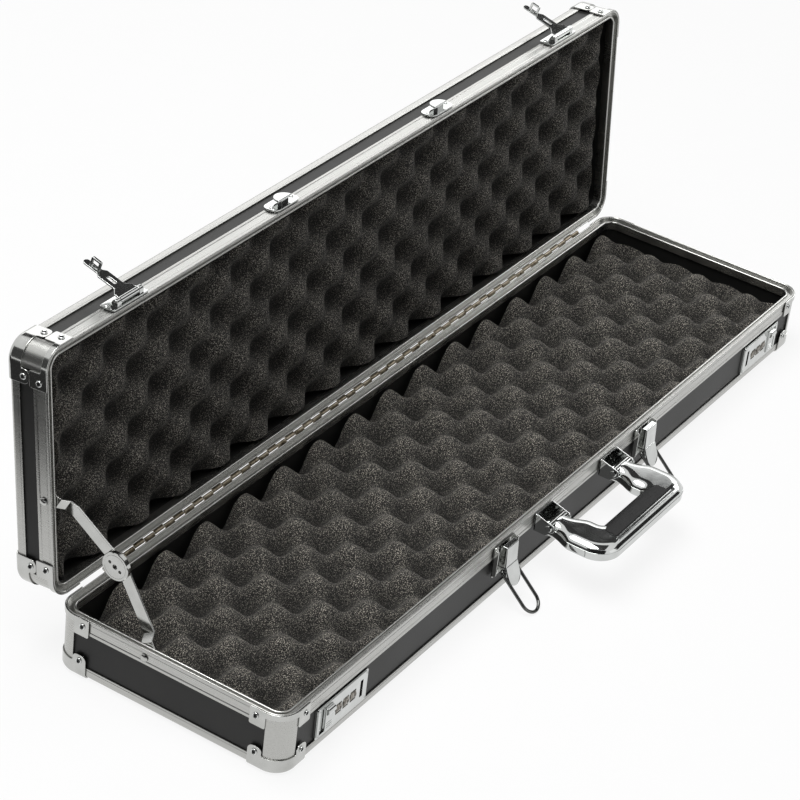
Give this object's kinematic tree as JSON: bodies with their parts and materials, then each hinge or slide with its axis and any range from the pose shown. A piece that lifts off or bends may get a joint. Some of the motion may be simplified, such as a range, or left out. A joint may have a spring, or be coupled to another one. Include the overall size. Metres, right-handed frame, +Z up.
{
  "type": "cue case",
  "caption": "Long hard case, lying open: black boards in metal edges, wavy foam in both halves, draw latches, combination locks with hasps, swinging handle, long hinge and lid stay.",
  "frame": {"origin": "middle of the underside of the base's panel board; the corner caps stand 1.3 mm below it", "axes": "+X along the case towards its right end, +Y from the front with the handle and locks towards the hinge, +Z up"},
  "size_m": [0.8048, 0.3357, 0.279],
  "materials": {
    "black_board": "satin",
    "edge_aluminium": "satin",
    "fitting_metal": "satin",
    "bright_plating": "polished",
    "grey_foam": "matte",
    "black_grip": "matte",
    "dial_metal": "satin",
    "hinge_metal": "satin"
  },
  "bodies": {
    "base": {"base_wall_boards": "black_board", "base_panel_board": "black_board", "base_rim_frame": "edge_aluminium", "base_edge_frame": "edge_aluminium", "base_foam": "grey_foam", "base_corner_cap_left_front": "fitting_metal", "base_corner_cap_left_back": "fitting_metal", "base_corner_cap_right_front": "fitting_metal", "base_corner_cap_right_back": "fitting_metal", "base_corner_bracket_left_front": "fitting_metal", "base_corner_bracket_left_back": "fitting_metal", "base_corner_bracket_right_front": "fitting_metal", "base_corner_bracket_right_back": "fitting_metal", "hinge_leaf_base": "hinge_metal", "hinge_pin": "hinge_metal", "stay_rivet_base": "fitting_metal", "latch_plate_left": "fitting_metal", "handle_bracket_left": "bright_plating", "lock_body_left": "bright_plating", "latch_plate_right": "fitting_metal", "handle_bracket_right": "bright_plating", "lock_body_right": "bright_plating"},
    "lid": {"lid_wall_boards": "black_board", "lid_panel_board": "black_board", "lid_rim_frame": "edge_aluminium", "lid_edge_frame": "edge_aluminium", "lid_foam": "grey_foam", "lid_corner_cap_left_front": "fitting_metal", "lid_corner_cap_left_back": "fitting_metal", "lid_corner_cap_right_front": "fitting_metal", "lid_corner_cap_right_back": "fitting_metal", "lid_corner_bracket_left_front": "fitting_metal", "lid_corner_bracket_left_back": "fitting_metal", "lid_corner_bracket_right_front": "fitting_metal", "lid_corner_bracket_right_back": "fitting_metal", "hinge_leaf_lid": "hinge_metal", "stay_rivet_lid": "fitting_metal", "latch_keeper_left": "bright_plating", "hasp_bracket_left": "bright_plating", "latch_keeper_right": "bright_plating", "hasp_bracket_right": "bright_plating"},
    "stay_lower": {"stay_arm_lower": "fitting_metal"},
    "stay_upper": {"stay_arm_upper": "fitting_metal", "stay_disc": "fitting_metal"},
    "handle": {"handle_body": "bright_plating", "handle_grip": "black_grip"},
    "lever_left": {"latch_lever_left": "bright_plating"},
    "bail_left": {"latch_bail_left": "bright_plating"},
    "hasp_left": {"hasp_arm_left": "bright_plating"},
    "button_left": {"lock_button_left": "bright_plating"},
    "dial_left_1": {"lock_dial_left_1": "dial_metal"},
    "dial_left_2": {"lock_dial_left_2": "dial_metal"},
    "dial_left_3": {"lock_dial_left_3": "dial_metal"},
    "lever_right": {"latch_lever_right": "bright_plating"},
    "bail_right": {"latch_bail_right": "bright_plating"},
    "hasp_right": {"hasp_arm_right": "bright_plating"},
    "button_right": {"lock_button_right": "bright_plating"},
    "dial_right_1": {"lock_dial_right_1": "dial_metal"},
    "dial_right_2": {"lock_dial_right_2": "dial_metal"},
    "dial_right_3": {"lock_dial_right_3": "dial_metal"}
  },
  "joints": [
    {"name": "lid_hinge", "type": "hinge", "parent": "base", "child": "lid", "pos_m": [0, 0.1028, 0.05215], "axis": [1, 0, 0], "range_deg": [0, 94.9]},
    {"name": "stay_lower_pivot", "type": "hinge", "parent": "base", "child": "stay_lower", "pos_m": [-0.3926, 0.022, 0.0445], "axis": [1, 0, 0], "range_deg": [0, 120.1]},
    {"name": "stay_upper_pivot", "type": "hinge", "parent": "lid", "child": "stay_upper", "pos_m": [-0.3926, 0.11754, 0.13449], "axis": [1, 0, 0], "range_deg": [-116.8, 0]},
    {"name": "handle_swing", "type": "hinge", "parent": "base", "child": "handle", "pos_m": [0, -0.114, 0.0422], "axis": [-1, 0, 0], "range_deg": [0, 88]},
    {"name": "lever_left_pivot", "type": "hinge", "parent": "base", "child": "lever_left", "pos_m": [-0.11, -0.1061, 0.0485], "axis": [-1, 0, 0], "range_deg": [0, 140]},
    {"name": "bail_left_pivot", "type": "hinge", "parent": "lever_left", "child": "bail_left", "pos_m": [-0.11, -0.107, 0.0275], "axis": [1, 0, 0], "range_deg": [-138.5, 54]},
    {"name": "hasp_left_pivot", "type": "hinge", "parent": "lid", "child": "hasp_left", "pos_m": [-0.304, 0.12538, 0.25878], "axis": [1, 0, 0], "range_deg": [0, 160]},
    {"name": "button_left_slide", "type": "slide", "parent": "base", "child": "button_left", "axis": [-1, 0, 0], "range_m": [0, 0.004], "stiffness_N_per_m": 400},
    {"name": "dial_left_1_turn", "type": "hinge", "parent": "base", "child": "dial_left_1", "pos_m": [-0.3148, -0.0971, 0.0237], "axis": [1, 0, 0], "continuous": true},
    {"name": "dial_left_2_turn", "type": "hinge", "parent": "base", "child": "dial_left_2", "pos_m": [-0.324, -0.0971, 0.0237], "axis": [1, 0, 0], "continuous": true},
    {"name": "dial_left_3_turn", "type": "hinge", "parent": "base", "child": "dial_left_3", "pos_m": [-0.3332, -0.0971, 0.0237], "axis": [1, 0, 0], "continuous": true},
    {"name": "lever_right_pivot", "type": "hinge", "parent": "base", "child": "lever_right", "pos_m": [0.11, -0.1061, 0.0485], "axis": [-1, 0, 0], "range_deg": [0, 140]},
    {"name": "bail_right_pivot", "type": "hinge", "parent": "lever_right", "child": "bail_right", "pos_m": [0.11, -0.107, 0.0275], "axis": [1, 0, 0], "range_deg": [-138.5, 54]},
    {"name": "hasp_right_pivot", "type": "hinge", "parent": "lid", "child": "hasp_right", "pos_m": [0.304, 0.12538, 0.25878], "axis": [1, 0, 0], "range_deg": [0, 160]},
    {"name": "button_right_slide", "type": "slide", "parent": "base", "child": "button_right", "axis": [1, 0, 0], "range_m": [0, 0.004], "stiffness_N_per_m": 400},
    {"name": "dial_right_1_turn", "type": "hinge", "parent": "base", "child": "dial_right_1", "pos_m": [0.3148, -0.0971, 0.0237], "axis": [1, 0, 0], "continuous": true},
    {"name": "dial_right_2_turn", "type": "hinge", "parent": "base", "child": "dial_right_2", "pos_m": [0.324, -0.0971, 0.0237], "axis": [1, 0, 0], "continuous": true},
    {"name": "dial_right_3_turn", "type": "hinge", "parent": "base", "child": "dial_right_3", "pos_m": [0.3332, -0.0971, 0.0237], "axis": [1, 0, 0], "continuous": true}
  ],
  "couplings": [
    {"joint": "stay_lower_pivot", "follows": "lid_hinge", "ratio": 1.265},
    {"joint": "stay_upper_pivot", "follows": "lid_hinge", "ratio": -1.23}
  ]
}
